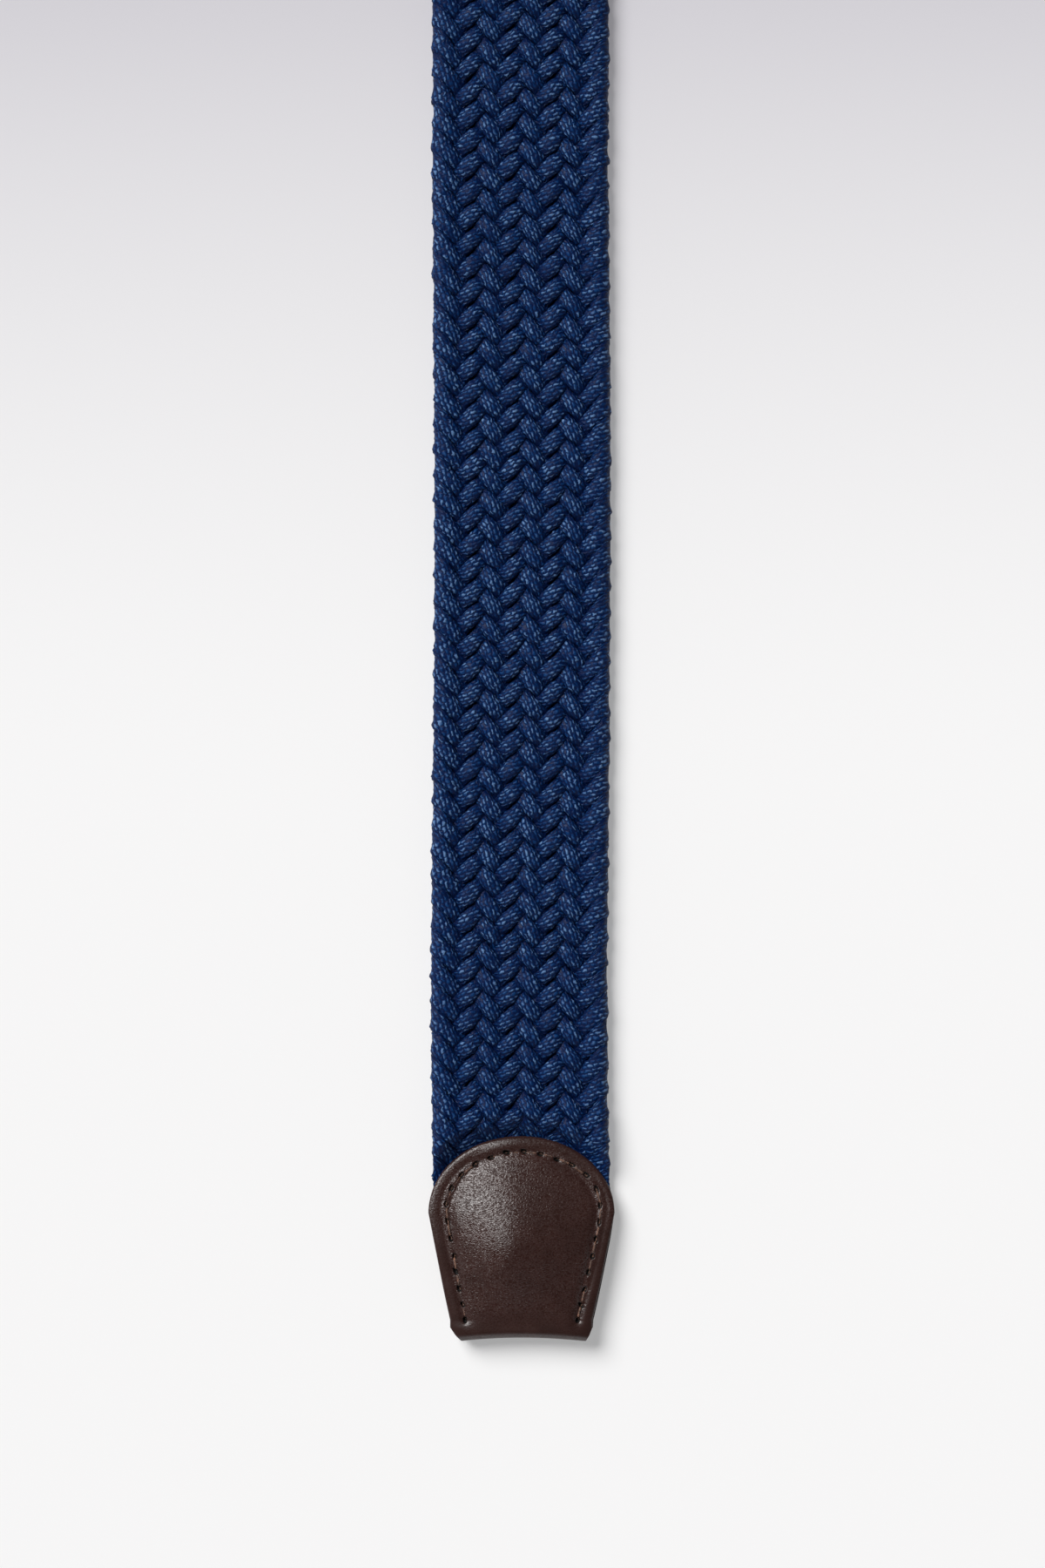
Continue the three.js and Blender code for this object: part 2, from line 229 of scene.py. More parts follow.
def lengths_along(line):
    """The length along a line of points, up to each of them."""
    return np.concatenate([[0], np.cumsum(np.linalg.norm(np.diff(line, axis=0), axis=1))])


def drift(y):
    """Sideways place of the strap's middle at y."""
    return np.interp(y - TIP.fold_line, DRIFT.from_tip, DRIFT.sideways)


# Shapes of the strap and the leather that both of them need

def flap_half(cap, a):
    """Half a flap's width at the distance a from its fold."""
    rise = limited((a - ARCH_START) / ARCH_RISE)
    arch = WIDEST * np.sqrt(1 - rise * rise)
    side = mix(cap.fold_half, WIDEST, limited((a - TAPER_END) / (ARCH_START - TAPER_END)))
    return np.where(a > ARCH_START, arch, side)


def strap_half(cap, a):
    """Half the strap's width at the distance a from the leather's fold."""
    shoulder = mix(cap.strap_end_half, STRAP_HALF, SHOULDER.share)
    share = limited((a - cap.strap_end) / (SHOULDER.at - cap.strap_end))
    widening = mix(shoulder, STRAP_HALF, rising(a, SHOULDER.at, SHOULDER.reach))
    return np.where(a < SHOULDER.at, mix(cap.strap_end_half, shoulder, share), widening)


def seam_half(cap, a):
    """How far from the middle a leg of the stitches runs."""
    leg_end = SEAM.leg_end + cap.slot_depth
    leg_half = flap_half(cap, np.array(leg_end)) - SEAM.leg_inset
    return mix(leg_half, SEAM.half, limited((a - leg_end) / (SEAM.start - leg_end)))


def seam_shift(a):
    """How far to the right of the middle the stitches' own middle lies."""
    return SEAM.sideways * smooth(a / SEAM.start)


def seam_line(cap):
    """Close points along the stitches, from one leg over the arch to the other."""
    turn = np.linspace(0, math.pi, LINE_POINTS)
    arch_x = SEAM.half * np.cos(turn)
    arch_a = SEAM.start + SEAM.rise * np.sin(turn)
    leg_a = np.linspace(SEAM.leg_end + cap.slot_depth, SEAM.start, LINE_POINTS // 2)[:-1]
    leg_x = seam_half(cap, leg_a)
    x = np.concatenate([leg_x, arch_x, -leg_x[::-1]])
    a = np.concatenate([leg_a, arch_a, leg_a[::-1]])
    return together(x + seam_shift(a), a)


def even_points(line, spacing):
    """Points on a line, about the given distance apart, and the line's direction at each."""
    length = lengths_along(line)
    wanted = np.linspace(0, length[-1], int(round(length[-1] / spacing)) + 1)
    nearby = 0.2

    def place(lengths):
        lengths = np.clip(lengths, 0, length[-1])
        return together(*(np.interp(lengths, length, values) for values in line.T))

    return place(wanted), unit(place(wanted + nearby) - place(wanted - nearby))


def distance_to(line, points):
    """Distance of each point from a line of points that lie close together."""
    return np.linalg.norm(points[..., None, :] - line, axis=-1).min(axis=-1)


def pinch(cap, x, a):
    """How far the stitches draw the flaps together: a sharp groove in a wide, shallow one."""
    near = distance_to(seam_line(cap)[::4], together(x, a))
    groove = PINCH.depth * np.exp(-(near / PINCH.reach) ** 2)
    return groove + PINCH.wide_depth * np.exp(-(near / PINCH.wide_reach) ** 2)


def over_width(cap, x, a):
    """0 on the middle line of a flap and 1 at its sides."""
    return limited(np.abs(x) / flap_half(cap, np.minimum(a, ARCH_START)))


def fold_top(cap):
    """How far from the fold's end the fold goes over into the flat flaps."""
    return LEATHER + cap.fold_pocket / 2 + FOLD_RUN


def dome_share(cap, x, a):
    """1 on the rounded top of the dome over the strap, falling evenly to 0 at the stitches."""
    side = seam_half(cap, a) + DOME_MARGIN
    x = x - seam_shift(a)
    to_side = np.abs(x - DOME_SIDEWAYS * (1 - np.abs(x) / side)) / side
    to_mouth = np.maximum(a - DOME_TOP, 0) / MOUTH_FALL
    out = np.minimum(np.hypot(to_side, to_mouth), 1)
    ridge = math.hypot(1, DOME_ROUND)
    return (ridge - np.hypot(out, DOME_ROUND)) / (ridge - DOME_ROUND)


def pocket_height(cap, x, a):
    """Height of the space between the flaps: a dome over the strap, flatter towards the fold."""
    at_fold = mix(cap.fold_pocket, cap.edge_pocket, over_width(cap, x, a) ** 4)
    dome = RIM_POCKET + (cap.dome_pocket - RIM_POCKET) * dome_share(cap, x, a)
    return mix(at_fold, dome, rising(a, fold_top(cap), DOME_TOP - fold_top(cap)))


def rim_lift(cap, x, a):
    """How far the leather stands off the floor at its sides and its fold."""
    in_dome = (1 - over_width(cap, x, a) ** 2) * smooth(a / DOME_TOP)
    return cap.rim_lift * (1 - in_dome) * smooth((CAP_LENGTH - a) / RIM_FADE) + end_lift(cap, x, a)


def end_lift(cap, x, a):
    """How far the belt's end stands off the floor, more on its right side."""
    return (cap.end_lift + cap.end_roll * (x + WIDEST)) * smooth((LIFT_FROM - a) / LIFT_LENGTH)


def pinched(cap, x, a):
    """Height of the space between the flaps, drawn together along the stitches."""
    return np.maximum(pocket_height(cap, x, a) - pinch(cap, x, a), LEAST_POCKET)


def outside_flap(x, a):
    """How far a point lies outside the flaps' arch."""
    rise = np.maximum(a - ARCH_START, 0)
    share = np.maximum(np.hypot(x / WIDEST, rise / ARCH_RISE), 1e-6)
    return np.where(share <= 1, 0, np.hypot(x, rise) * (1 - 1 / share))


# Mesh making

def in_millimetres(settings):
    """A group of settings as plain values, each length in millimetres."""
    values = {}
    for key in settings.__annotations__:
        value = getattr(settings, key)
        values[key] = value / MM if settings.bl_rna.properties[key].unit == "LENGTH" else value
    return Sizes(**values)


def to_metres(points):
    return np.asarray(points, float).reshape(-1, 3) * MM


def new_object(name, data):
    thing = bpy.data.objects.new(name, data)
    bpy.context.scene.collection.objects.link(thing)
    return thing


def new_piece(name, points, faces, material, replaced=()):
    """A smooth mesh object that rides with the belt."""
    mesh = bpy.data.meshes.new(name)
    mesh.from_pydata(to_metres(points).tolist(), [], faces)
    mesh.validate()
    mesh.shade_smooth()
    mesh.materials.append(material)
    piece = new_object(name, mesh)
    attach(piece, "root")
    if replaced:
        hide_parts(*replaced)
    return piece


def section(sides, power):
    """Points round a section that reaches 1 each way: an oval at a power of 2, and boxier above it."""
    angle = np.arange(sides) * 2 * math.pi / sides
    cosine, sine = np.cos(angle), np.sin(angle)
    return np.sign(cosine) * np.abs(cosine) ** (2 / power), np.sign(sine) * np.abs(sine) ** (2 / power)


def sweep(line, up, half_width, half_thick, sides, power=2.0):
    """Rings of points across a line, each with its thickness towards up."""
    ahead = unit(np.gradient(line, axis=0))
    side = unit(np.cross(ahead, up))
    up = np.cross(side, ahead)
    wide, tall = section(sides, power)
    across = np.broadcast_to(half_width, len(line))[:, None] * wide
    above = np.broadcast_to(half_thick, len(line))[:, None] * tall
    return line[:, None, :] + side[:, None, :] * across[..., None] + up[:, None, :] * above[..., None]


def tube_faces(rings, sides, first=0):
    """Faces of a closed tube through rings of points."""
    index = first + np.arange(rings * sides).reshape(rings, sides)
    right = np.roll(index, -1, axis=1)
    walls = together(index[:-1], index[1:], right[1:], right[:-1]).reshape(-1, 4)
    return walls.tolist() + [index[0].tolist(), index[-1][::-1].tolist()]


def map_tubes(mesh, courses, sides, cells):
    """A texture map for tubes, counted in cells: u along each of them, v round it."""
    layer = mesh.uv_layers.new(name="SleeveMap")
    around = np.arange(sides + 1) * cells / sides
    corners = []
    for along in courses:
        start, end = along[:-1, None].repeat(sides, 1), along[1:, None].repeat(sides, 1)
        u = together(start, end, end, start)
        v = np.broadcast_to(together(around[:-1], around[:-1], around[1:], around[1:]), u.shape)
        corners += [together(u, v).reshape(-1, 2), np.zeros((2 * sides, 2))]
    layer.data.foreach_set("uv", np.concatenate(corners).astype(np.float32).ravel())


def add_values(mesh, name, values):
    """Stores one number for each point of a mesh, for its material to read."""
    attribute = mesh.attributes.new(name, "FLOAT", "POINT")
    attribute.data.foreach_set("value", np.asarray(values, np.float32))


# Materials

class Recipe:
    """Builds the nodes of a material or a world. Each call gives back the output of what it adds."""

    def __init__(self, owner, shader="Principled BSDF"):
        owner.use_nodes = True
        self.owner = owner
        self.tree = owner.node_tree
        self.shader = self.tree.nodes[shader]

    def put(self, socket, value):
        if isinstance(value, bpy.types.NodeSocket):
            self.tree.links.new(value, socket)
        else:
            socket.default_value = value

    def node(self, kind, inputs=(), output=0, **settings):
        node = self.tree.nodes.new("ShaderNode" + kind)
        for key, value in settings.items():
            setattr(node, key, value)
        for key, value in dict(inputs).items():
            self.put(node.inputs[key], value)
        return node.outputs[output]

    def math(self, operation, *values):
        return self.node("Math", enumerate(values), operation=operation)

    def times(self, one, other):
        return self.math("MULTIPLY", one, other)

    def weighted(self, start, *pairs):
        """The start plus each value times its weight."""
        for value, weight in pairs:
            start = self.math("ADD", start, self.times(value, weight))
        return start

    def split(self, vector):
        node = self.tree.nodes.new("ShaderNodeSeparateXYZ")
        self.put(node.inputs[0], vector)
        return tuple(node.outputs)

    def joined(self, x, y):
        return self.node("CombineXYZ", {0: x, 1: y})

    def place(self, x=1.0, y=1.0, z=1.0):
        """The place on the object in metres, stretched."""
        place = self.node("TexCoord", output=3)
        return self.node("Mapping", {"Vector": place, "Scale": (x, y, z)})

    def noise(self, vector, scale, detail, roughness):
        inputs = {"Vector": vector, "Scale": scale, "Detail": detail, "Roughness": roughness}
        return self.node("TexNoise", inputs)

    def wandering(self, vector, scale, reach):
        """The place, moved about a little."""
        way = self.node("TexNoise", {"Vector": vector, "Scale": scale, "Detail": 1.0}, output=1)
        way = self.node("VectorMath", {0: way, 1: (0.5, 0.5, 0.5)}, operation="SUBTRACT")
        way = self.node("VectorMath", {0: way, "Scale": 2 * reach}, operation="SCALE")
        return self.node("VectorMath", {0: vector, 1: way}, operation="ADD")

    def stored(self, name):
        return self.node("Attribute", attribute_name=name, output=2)

    def limits(self, value, low, high, to_low=0.0, to_high=1.0):
        """Maps low to high smoothly onto the second pair of values."""
        inputs = {0: value, 1: low, 2: high, 3: to_low, 4: to_high}
        return self.node("MapRange", inputs, interpolation_type="SMOOTHSTEP")

    def ramp(self, value, *stops):
        node = self.tree.nodes.new("ShaderNodeValToRGB")
        elements = node.color_ramp.elements
        elements.remove(elements[1])
        for i, (place, colour) in enumerate(stops):
            element = elements.new(place) if i else elements[0]
            element.position = place
            element.color = (*colour, 1)
        self.put(node.inputs[0], value)
        return node.outputs[0]

    def bump(self, height, millimetres):
        return self.node("Bump", {"Height": height, "Distance": millimetres * MM})

    def finish(self, **inputs):
        for key, value in inputs.items():
            self.put(self.shader.inputs[key.replace("_", " ")], value)
        return self.owner


def recipe_for(name):
    return Recipe(bpy.data.materials.new(name))


def shade(colour, amount):
    return tuple(amount * part for part in colour)


def cord_material(size):
    """The sleeve of an elastic cord: bundles of yarn, laid like bricks on the slant round the cord. Its
    colour has painted glints on some yarns, a painted lit side on each brick, and painted shade between the
    bricks.
    """
    row_lean, one_sided, brick_round = 0.45, 1.9, 0.6
    make = recipe_for("navy_cord_sleeve")
    mapped = make.node("UVMap", uv_map="SleeveMap")
    along, around, _ = make.split(make.wandering(make.wandering(mapped, 0.8, 0.42), 1.5, 0.35))
    row = make.weighted(around, (along, row_lean))
    course = make.math("SUBTRACT", along, around)
    row_number = make.math("FLOOR", row)
    brick = make.times(make.math("ADD", course, row_number), 0.5)
    # painted light and shade: each brick's crest is pushed to one side, towards the light, so that side is
    # painted lit and the rest falls to painted shade; the bump leans the same way
    over_row = make.math("POWER", make.math("FRACT", row), one_sided)
    across_brick = make.math("SINE", make.times(over_row, math.pi))
    along_brick = make.math("SINE", make.times(make.math("FRACT", brick), math.pi))
    bundle = make.times(across_brick, make.math("POWER", along_brick, brick_round))
    number = make.joined(row_number, make.math("FLOOR", brick))
    chance = make.node("TexWhiteNoise", {"Vector": number}, noise_dimensions="2D")
    fibres = make.noise(make.joined(make.times(row, 3.4), make.times(course, 0.9)), 1.3, 2.0, 0.6)
    raised = make.times(bundle, make.weighted(0.35, (chance, 0.8)))
    patch = make.noise(mapped, 0.2, 2.0, 0.6)
    # painted highlight: random raised yarns get glints painted into their colour
    painted_glints = make.times(chance, make.math("POWER", bundle, 2.0))
    tone = make.weighted(-0.05, (raised, 0.5), (fibres, 0.25), (painted_glints, 0.6), (patch, 0.1))
    # painted shade: the tone is darkened where the cord is hidden from the light
    tone = make.times(tone, make.weighted(0.36, (make.stored("openness"), 0.64)))
    body, glint_paint = np.array(size.cord_colour), np.array(size.glint_colour)
    half_bright = mix(body, glint_paint, 0.35)
    # the ramp runs from painted shade between the yarns, through the navy, to painted glints
    colour = make.ramp(tone, (0.16, size.deep_colour), (0.42, body), (0.66, half_bright), (0.86, glint_paint))
    normal = make.bump(make.weighted(raised, (fibres, 0.5)), size.yarn_relief)
    return make.finish(Base_Color=colour, Roughness=0.42, Normal=normal, Specular_IOR_Level=0.12)


def leather_material(size):
    """Dark brown leather: a fine wavy grain, smoother where it is stretched over an edge. Painted shade
    darkens its stitch holes and the grain's hollows.
    """
    painted_hole_shade = (0.0012, 0.0008, 0.0006)
    make = recipe_for("brown_leather")
    pebbled = make.wandering(make.place(y=1.25), 1300.0, 0.00036)
    cells = {"Vector": pebbled, "Scale": 1900.0}
    pebbles = make.limits(make.node("TexVoronoi", cells, feature="DISTANCE_TO_EDGE"), 0.0, 0.4)
    waves = make.noise(make.place(y=1.6), 1450.0, 1.5, 0.5)
    ridges = make.limits(make.math("ABSOLUTE", make.weighted(-1.0, (waves, 2.0))), 0.0, 0.4, 1.0, 0.0)
    patches = make.noise(make.place(), 210.0, 3.0, 0.55)
    strength, hole = make.stored("grain_strength"), make.stored("stitch_hole")
    grain = make.weighted(make.times(pebbles, 0.45), (ridges, 0.55))
    # painted shade: this height also sets the tone below, so the grain's hollows are painted darker
    height = make.times(grain, make.times(strength, make.math("ADD", 0.5, patches)))
    # painted shade: the stitch holes are painted nearly black
    tone = make.weighted(0.03, (patches, 0.55), (height, 0.35), (hole, -2.2))
    dark, pale = shade(size.leather_colour, 0.72), shade(size.leather_colour, 1.3)
    colour = make.ramp(tone, (0.0, painted_hole_shade), (0.16, dark), (0.7, pale))
    shine = make.weighted(0.4, (make.limits(grain, 0.2, 0.8, -0.27, 0.35), strength))
    rough = make.weighted(0.31, (patches, 0.06), (hole, 0.6))
    normal = make.bump(height, size.grain_depth)
    return make.finish(Base_Color=colour, Roughness=rough, Normal=normal, Specular_IOR_Level=shine)


def edge_material(size):
    """The cut edge of the leather, rubbed down and dark."""
    make = recipe_for("leather_cut_edge")
    fibres = make.noise(make.place(z=3.0), 2600.0, 4.0, 0.65)
    colour = make.ramp(fibres, (0.3, shade(size.leather_colour, 0.55)), (0.75, size.leather_colour))
    return make.finish(Base_Color=colour, Roughness=0.6, Normal=make.bump(fibres, 0.05))


def thread_material(size):
    """Waxed sewing thread, twisted from plies, with painted shade between the plies and painted highlights in
    pale specks.
    """
    make = recipe_for("sewing_thread")
    along, around, _ = make.split(make.node("UVMap", uv_map="SleeveMap"))
    twisted = make.times(make.math("ADD", along, around), math.pi)
    plies = make.math("ABSOLUTE", make.math("SINE", twisted))
    painted_highlight_specks = make.noise(make.place(), 1100.0, 2.0, 0.6)
    # painted shade between the plies, and painted highlights in pale random specks
    tone = make.weighted(make.times(plies, 0.3), (painted_highlight_specks, 0.9))
    dark, pale = shade(size.thread_colour, 0.25), shade(size.thread_colour, 4.0)
    colour = make.ramp(tone, (0.35, dark), (0.62, size.thread_colour), (0.92, pale))
    return make.finish(Base_Color=colour, Roughness=0.5, Normal=make.bump(plies, 0.06))


def steel_material(size):
    """Satin steel, with a fine brushed grain and the smudges of handling."""
    make = recipe_for("satin_steel")
    brushed = make.noise(make.place(x=0.05), 5200.0, 3.0, 0.6)
    smudges = make.noise(make.place(), 90.0, 3.0, 0.55)
    colour = make.ramp(brushed, (0.25, shade(size.steel_colour, 0.82)), (0.75, size.steel_colour))
    rough = make.weighted(0.3, (smudges, 0.16))
    return make.finish(Base_Color=colour, Roughness=rough, Metallic=1.0, Normal=make.bump(brushed, 0.01))


def paper_material(settings):
    """Pale paper, a little darker towards the far end as painted shade, and glowing with painted light that
    lifts the shadows on it.
    """
    make = recipe_for("pale_paper")
    _, y, _ = make.split(make.place())
    # painted shade: the paper is darkened up the belt, in place of the light falling off there
    start = TIP.fold_line * MM + settings.shade_start
    away = make.node("MapRange", {0: y, 1: start, 2: start + settings.shade_reach, 3: 0.0, 4: 1.0})
    falling = make.math("POWER", away, 1.85)
    colour = make.ramp(falling, (0.0, settings.floor_colour), (1.0, settings.floor_far_colour))
    # painted light: the paper glows, though no lamp is under it
    make.finish(Emission_Color=colour, Emission_Strength=settings.table_glow)
    return make.finish(Base_Color=colour, Roughness=0.9, Specular_IOR_Level=0.1)


# Strap

def course_knots(size):
    """A cord at every half column of one zigzag: its place across the strap, height from -1 to 1, sway along
    the belt, roll, and how much broader it is than in the middle."""
    step = np.arange(0, ZIGZAG, 0.5)
    rightward = step < COLUMNS + 1
    lane = np.where(rightward, step, ZIGZAG - step)
    across = (lane - (COLUMNS + 1) / 2) * COLUMN_PITCH
    heading = np.where(rightward, 1, -1)
    height = np.cos(math.pi * step) * heading
    sway = np.sin(math.pi * step) * np.where(rightward, size.lean_right, -size.lean_left)
    roll = np.where(rightward, 0.0, math.pi)
    broad = np.ones(len(step))
    for past, out, edge_sway, edge_height, turned, edge_broad in EDGE_TURN:
        for edge, way in ((COLUMNS + 1, 1), (0, -1)):
            knot = int(2 * (edge + past)) % len(step)
            across[knot], height[knot], sway[knot] = out * way, edge_height, edge_sway
            roll[knot] = math.pi * (turned if way > 0 else 1 - turned)
            broad[knot] = edge_broad
    return across, height, sway, roll, broad


def through(knots, step):
    """A smooth curve through values that stand half a column apart, round and round the zigzag."""
    place = np.mod(2 * step, len(knots))
    first = np.floor(place).astype(int)
    t = place - first
    before, one, two, after = (knots[(first + shift) % len(knots)] for shift in (-1, 0, 1, 2))
    bend = 2 * before - 5 * one + 4 * two - after + (3 * one - before - 3 * two + after) * t
    return one + 0.5 * t * (two - before + t * bend)


def unevenness(random, step, amount):
    """A small smooth wander along a cord, with a new value at each crossing."""
    knots = np.arange(math.floor(step[0]) - 1, math.ceil(step[-1]) + 2)
    values = random.normal(0, amount, len(knots))
    left = np.clip(np.floor(step).astype(int) - int(knots[0]), 0, len(knots) - 2)
    return mix(values[left], values[left + 1], smooth(step - np.floor(step)))


def settle(points):
    """Lays the flat braid down: squeezed between the flaps at both ends, and on the floor in between."""
    x, y, z = points[..., 0].copy(), points[..., 1], points[..., 2].copy()
    for cap in (TIP, TAB):
        a = (y - cap.fold_line) * cap.along
        here = a < BED.near_end
        xs, a = x[here] * strap_half(cap, a[here]) / STRAP_HALF, a[here]
        squeezed = pinched(cap, xs, a) - BED.slack
        thick = mix(squeezed, STRAP_THICK, rising(outside_flap(xs, a), *BED.mouth))
        floor = mix(LEATHER + BED.raised, 0.0, rising(a, CAP_LENGTH, BED.drop)) + rim_lift(cap, xs, a)
        x[here] = xs
        z[here] = floor + z[here] / STRAP_THICK * thick
    return together(x + drift(y), y, np.maximum(z, BED.floor_gap))


def cord_mesh(number, size, random):
    """One cord of the braid, from inside the tip to inside the tab: its rings, its length at each ring, and
    how open to the light each of its points is, which the sleeve's colour shows as painted shade."""
    spacing = CROWN_SPACING / 2
    start = TIP.fold_line + TIP.strap_end + CORD_END
    end = TAB.fold_line - TAB.strap_end - CORD_END
    lag = 2 * number + COLUMNS / 2
    first, last = (start - CROWN_AT) / spacing + lag, (end - CROWN_AT) / spacing + lag
    step = np.linspace(first, last, int((last - first) * RINGS_PER_COLUMN))
    across, height, sway, roll, broad = (through(knots, step) for knots in course_knots(size))
    height = np.tanh(size.dive * height) / math.tanh(size.dive)
    crown = size.crown_width * broad
    under = mix(size.under_width, crown, rising(np.abs(across), *NARROWING))
    below = smooth((size.broad_from - height) / size.broad_over)
    width = mix(crown, under, below) * (1 + unevenness(random, step, UNEVEN.width))
    thick = size.cord_thick * (1 + unevenness(random, step, UNEVEN.thick))
    x = across + unevenness(random, step, UNEVEN.across)
    y = CROWN_AT + (step - lag) * spacing + sway + unevenness(random, step, UNEVEN.along)
    z = STRAP_THICK / 2 + height * (STRAP_THICK - size.cord_thick) / 2
    line = together(x, y, z)
    rings = sweep(line, together(np.sin(roll), 0.0, np.cos(roll)), width / 2, thick / 2, SECTION_SIDES)
    lumps = 1 + np.maximum(random.normal(0, size.lumpiness, rings.shape[:2]), -UNEVEN.dent)
    rings = line[:, None, :] + (rings - line[:, None, :]) * lumps[..., None]
    from_middle = np.abs(rings[..., 2] / STRAP_THICK - 0.5) * 2
    outward = np.abs(rings[..., 0]) - np.abs(x)[:, None]
    at_edge = rising(np.abs(x)[:, None], *LIT.at_edge)
    lit = np.maximum(rising(from_middle, *LIT.above), rising(outward, *LIT.beside) * at_edge)
    shaded = LIT.flank_shade * at_edge * rising(np.abs(rings[..., 1] - y[:, None]), *LIT.flank)
    return settle(rings), lengths_along(line), lit * (1 - shaded)


def build_strap(settings):
    """The nine cords, each an object."""
    size = in_millimetres(settings)
    material = cord_material(size)
    random = np.random.default_rng(size.seed)
    for number in range(CORDS):
        rings, length, openness = cord_mesh(number, size, random)
        faces = tube_faces(len(rings), SECTION_SIDES)
        cord = new_piece(f"strap_cord_{number + 1}", rings, faces, material, ["braided_strap"])
        map_tubes(cord.data, [length / size.yarn_size], SECTION_SIDES, size.yarns_round)
        # painted shade: stored for the sleeve's colour to darken where the cord is hidden from the light
        add_values(cord.data, "openness", openness.ravel())


# Leather pieces

def sheet_pattern(cap, across_cells, along_cells, fold_cells):
    """The flat cut of a leather piece: its points as (x, a, side), and its faces.
    Side is 1 on the front flap, -1 on the back flap and between them round the fold."""
    s = np.linspace(-1, 1, across_cells + 1)
    t = np.linspace(0, 1, along_cells + 1)[::-1]
    fold_a = fold_top(cap)
    sine = np.sin(s * math.pi / 2)
    crown = ARCH_START + ARCH_RISE * np.cos(s * math.pi / 2)
    side_a = fold_a + t * (ARCH_START - fold_a)
    x = sine[None, :] * flap_half(cap, side_a)[:, None]
    a = fold_a + t[:, None] * (crown - fold_a)[None, :]
    front = together(x, a, 1.0)
    fold_side = 2 * FLAT - 1
    turn = np.linspace(fold_side, -fold_side, fold_cells + 1)
    fold = together(sine * cap.fold_half, 0.0, turn[:, None])
    back = front[::-1].copy()
    back[..., 2] = -1
    grid = np.concatenate([front, fold, back])
    index = np.arange(grid[..., 0].size).reshape(grid.shape[:2])
    faces = together(index[:-1, :-1], index[1:, :-1], index[1:, 1:], index[:-1, 1:]).reshape(-1, 4)
    return grid.reshape(-1, 3), faces.tolist()


def cut_slot(cap, points, faces):
    """Takes the prong's slot out of the flat cut, and rounds the edge that is left."""
    half, straight = cap.slot_half, cap.slot_depth - cap.slot_half
    middle = np.array([np.abs(points[face]).mean(axis=0) for face in faces])
    inside = np.hypot(middle[:, 0], np.maximum(middle[:, 1] - straight, 0)) < half
    kept = [face for face, gone in zip(faces, inside) if not gone]
    gone = {i for face, cut in zip(faces, inside) if cut for i in face}
    for i in gone & {i for face in kept for i in face}:
        x, a, side = points[i]
        past = max(a - straight, 0)
        grown = half / max(math.hypot(x, past), 1e-6)
        points[i] = (x * grown, straight + past * grown if past > 0 else a, side)
    return points, kept


def refined(points, faces, holes):
    """Splits the cells near the stitch holes, so that the holes can be pressed in."""
    mesh = bmesh.new()
    verts = [mesh.verts.new(p) for p in points.tolist()]
    for face in faces:
        mesh.faces.new([verts[i] for i in face])
    for turn in range(FINER.rounds):
        middle = np.array([((e.verts[0].co + e.verts[1].co) / 2)[:] for e in mesh.edges])
        flat = np.abs(middle[:, 2]) > FLAT
        near = flat & (distance_to(holes, middle[:, :2]) < FINER.reach / (turn + 1) ** 0.5)
        chosen = [edge for edge, close in zip(mesh.edges, near) if close]
        bmesh.ops.subdivide_edges(mesh, edges=chosen, cuts=1, use_grid_fill=True)
    loose = [v for v in mesh.verts if not v.link_faces]
    bmesh.ops.delete(mesh, geom=loose, context="VERTS")
    mesh.verts.index_update()
    new_points = np.array([v.co[:] for v in mesh.verts])
    new_faces = [[v.index for v in f.verts] for f in mesh.faces]
    mesh.free()
    return new_points, new_faces


def edge_distance(cap, x, a):
    """Distance of a point on a flap from the flap's cut edge."""
    rise = (a - ARCH_START) / ARCH_RISE
    share = np.maximum(np.hypot(x / WIDEST, rise), 1e-6)
    slope = np.hypot(x / WIDEST ** 2, rise / ARCH_RISE) / share
    arch = (1 - share) / np.maximum(slope, 1e-6)
    return np.where(a > ARCH_START, arch, flap_half(cap, a) - np.abs(x))


def hole_shape(pattern, holes, heads, size):
    """1 in the middle of a stitch hole, falling to 0 round it. The holes differ a little."""
    x, a, side = pattern.T
    random = np.random.default_rng(size.seed)
    shape = np.zeros_like(x)
    for (hole_x, hole_a), (head_x, head_a) in zip(holes, heads):
        length = size.hole_length * random.uniform(*HOLES.sizes)
        width = size.hole_width * random.uniform(*HOLES.sizes)
        hole_x += random.normal(0, HOLES.sideways)
        hole_a += random.normal(0, HOLES.along)
        turn = random.normal(0, HOLES.turn)
        turned_x = head_x * math.cos(turn) - head_a * math.sin(turn)
        turned_a = head_x * math.sin(turn) + head_a * math.cos(turn)
        along = (x - hole_x) * turned_x + (a - hole_a) * turned_a
        across = (a - hole_a) * turned_x - (x - hole_x) * turned_a
        inside = (along / length) ** 2 + (across / width) ** 2
        shape = np.maximum(shape, np.exp(-inside ** 2))
    return shape * (np.abs(side) > FLAT)


